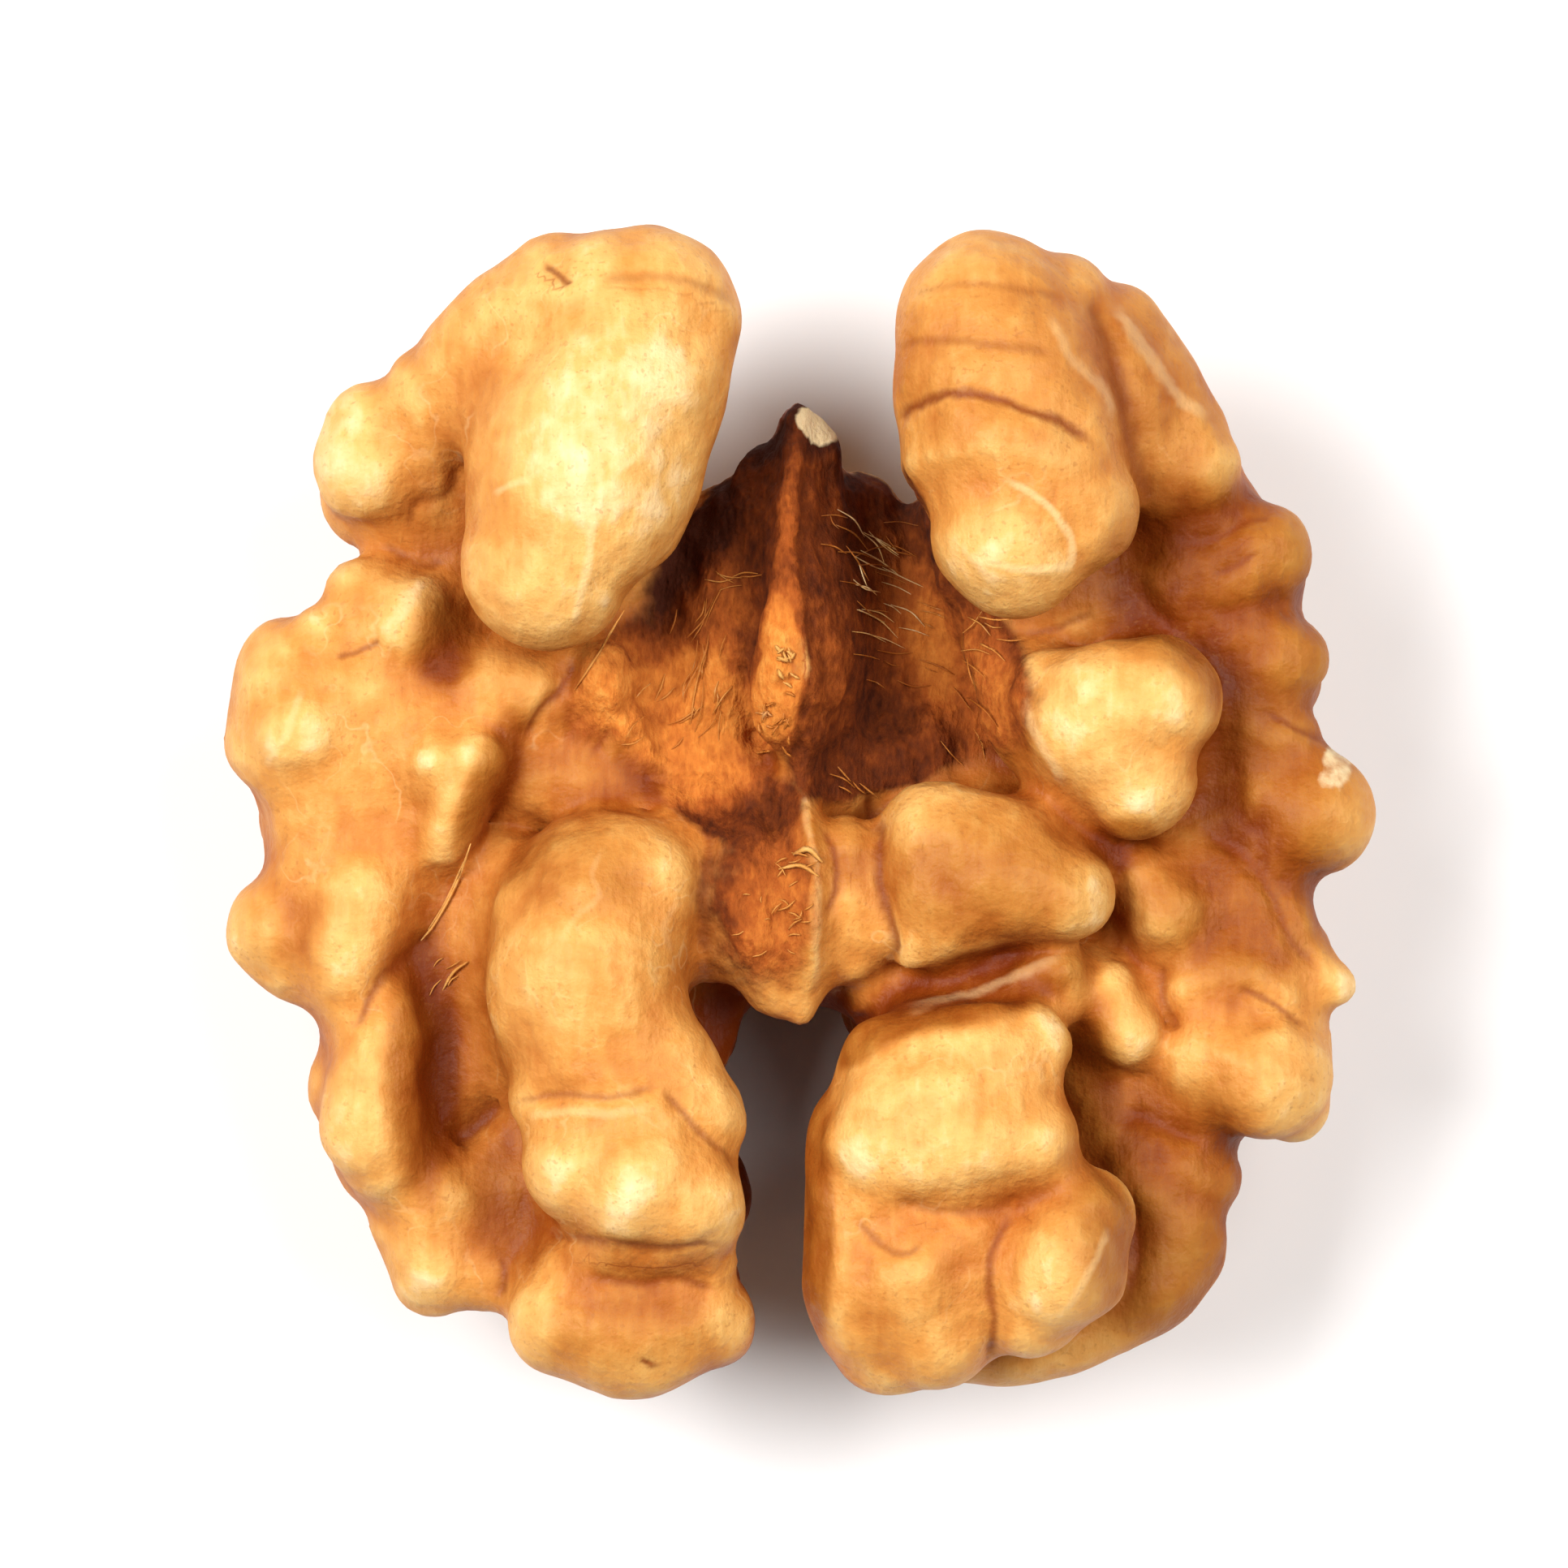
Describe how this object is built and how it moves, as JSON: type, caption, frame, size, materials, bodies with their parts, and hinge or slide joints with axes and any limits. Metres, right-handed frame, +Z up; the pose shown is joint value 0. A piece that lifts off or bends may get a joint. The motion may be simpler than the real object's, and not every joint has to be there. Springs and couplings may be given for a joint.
{
  "type": "walnut kernel",
  "caption": "Shelled walnut kernel half lying on its round back, ridged inner side up, with plump folded lobes, a notch between its upper arms and a narrow slit opposite.",
  "frame": {"origin": "middle of the kernel's footprint, on the surface it rests on", "axes": "+Z up, out of the ridged inner side; +Y towards the wide notch between the two upper arms; X across the kernel"},
  "size_m": [0.0324, 0.033, 0.016],
  "materials": {
    "walnut_skin": "satin"
  },
  "bodies": {
    "root": {"kernel": "walnut_skin"}
  },
  "joints": []
}
